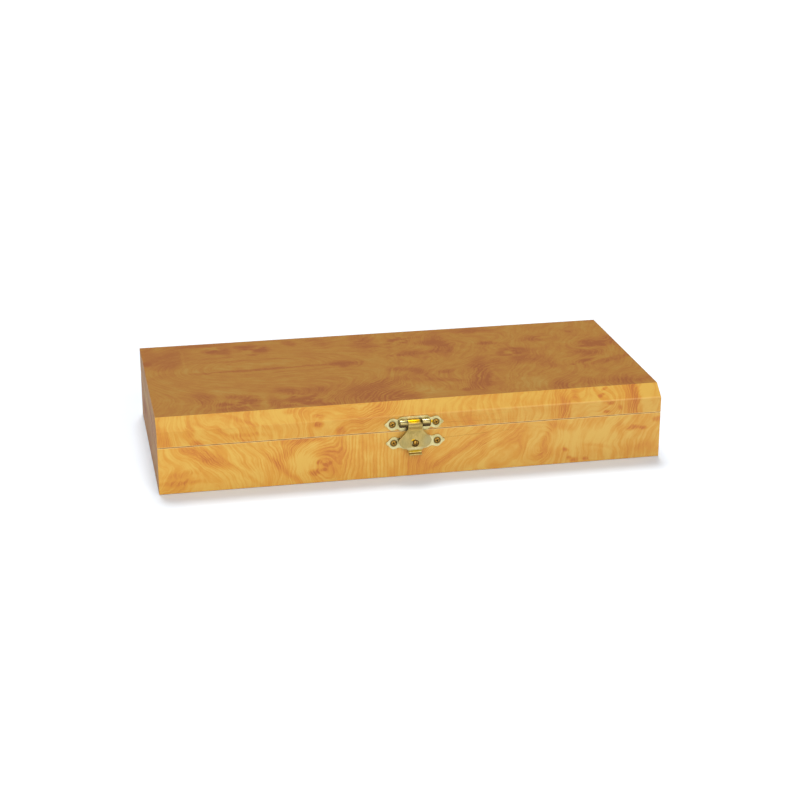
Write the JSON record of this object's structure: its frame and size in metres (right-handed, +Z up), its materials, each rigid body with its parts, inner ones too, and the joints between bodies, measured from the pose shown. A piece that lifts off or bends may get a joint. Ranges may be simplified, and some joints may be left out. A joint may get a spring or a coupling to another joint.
{
  "type": "hinged presentation case",
  "caption": "Rectangular hinged presentation case in burl-grain wrap, with a bevelled front lid edge, padded lining and a swinging brass hasp.",
  "frame": {"origin": "middle of the case's underside, where it rests", "axes": "+X along the case's width, to the right as one faces the hasp; +Y from the front to the back; +Z up"},
  "size_m": [0.3, 0.1416, 0.0441],
  "materials": {
    "burl_skin": "satin burl-grain wrap",
    "core_board": "raw fibreboard",
    "velvet": "navy velvet",
    "satin": "ivory satin",
    "card": "grey card",
    "felt": "green felt",
    "brass": "aged brass plate",
    "screw_brass": "amber brass plate"
  },
  "bodies": {
    "base": {"base_front_wall": "core_board", "base_back_wall": "core_board", "base_left_wall": "core_board", "base_right_wall": "core_board", "base_floor_panel": "core_board", "base_burl_skin": "burl_skin", "base_felt": "felt", "base_lining_front": "velvet", "base_lining_back": "velvet", "base_lining_left": "velvet", "base_lining_right": "velvet", "base_cushion_board": "card", "base_cushion": "velvet", "hinge_left_base_leaf": "brass", "hinge_right_base_leaf": "brass", "hinge_base_screws": "screw_brass", "hasp_catch_plate": "brass", "hasp_catch_stud": "screw_brass", "hasp_catch_screws": "screw_brass"},
    "lid": {"lid_front_rail": "core_board", "lid_back_rail": "core_board", "lid_left_rail": "core_board", "lid_right_rail": "core_board", "lid_top_panel": "core_board", "lid_burl_skin": "burl_skin", "lid_lining_front": "satin", "lid_lining_back": "satin", "lid_lining_left": "satin", "lid_lining_right": "satin", "lid_cushion_board": "card", "lid_cushion": "satin", "hinge_left_lid_leaf": "brass", "hinge_left_pin": "brass", "hinge_right_lid_leaf": "brass", "hinge_right_pin": "brass", "hinge_lid_screws": "screw_brass", "hasp_plate": "brass", "hasp_plate_screws": "screw_brass", "hasp_pin": "brass"},
    "hasp_leaf": {"hasp_leaf": "brass"}
  },
  "joints": [
    {"name": "lid_hinge", "type": "hinge", "parent": "base", "child": "lid", "pos_m": [0, 0.0664, 0.02835], "axis": [-1, 0, 0], "range_deg": [0, 100]},
    {"name": "hasp_swing", "type": "hinge", "parent": "lid", "child": "hasp_leaf", "pos_m": [-0.001, -0.0705, 0.0335], "axis": [-1, 0, 0], "range_deg": [0, 160]}
  ]
}
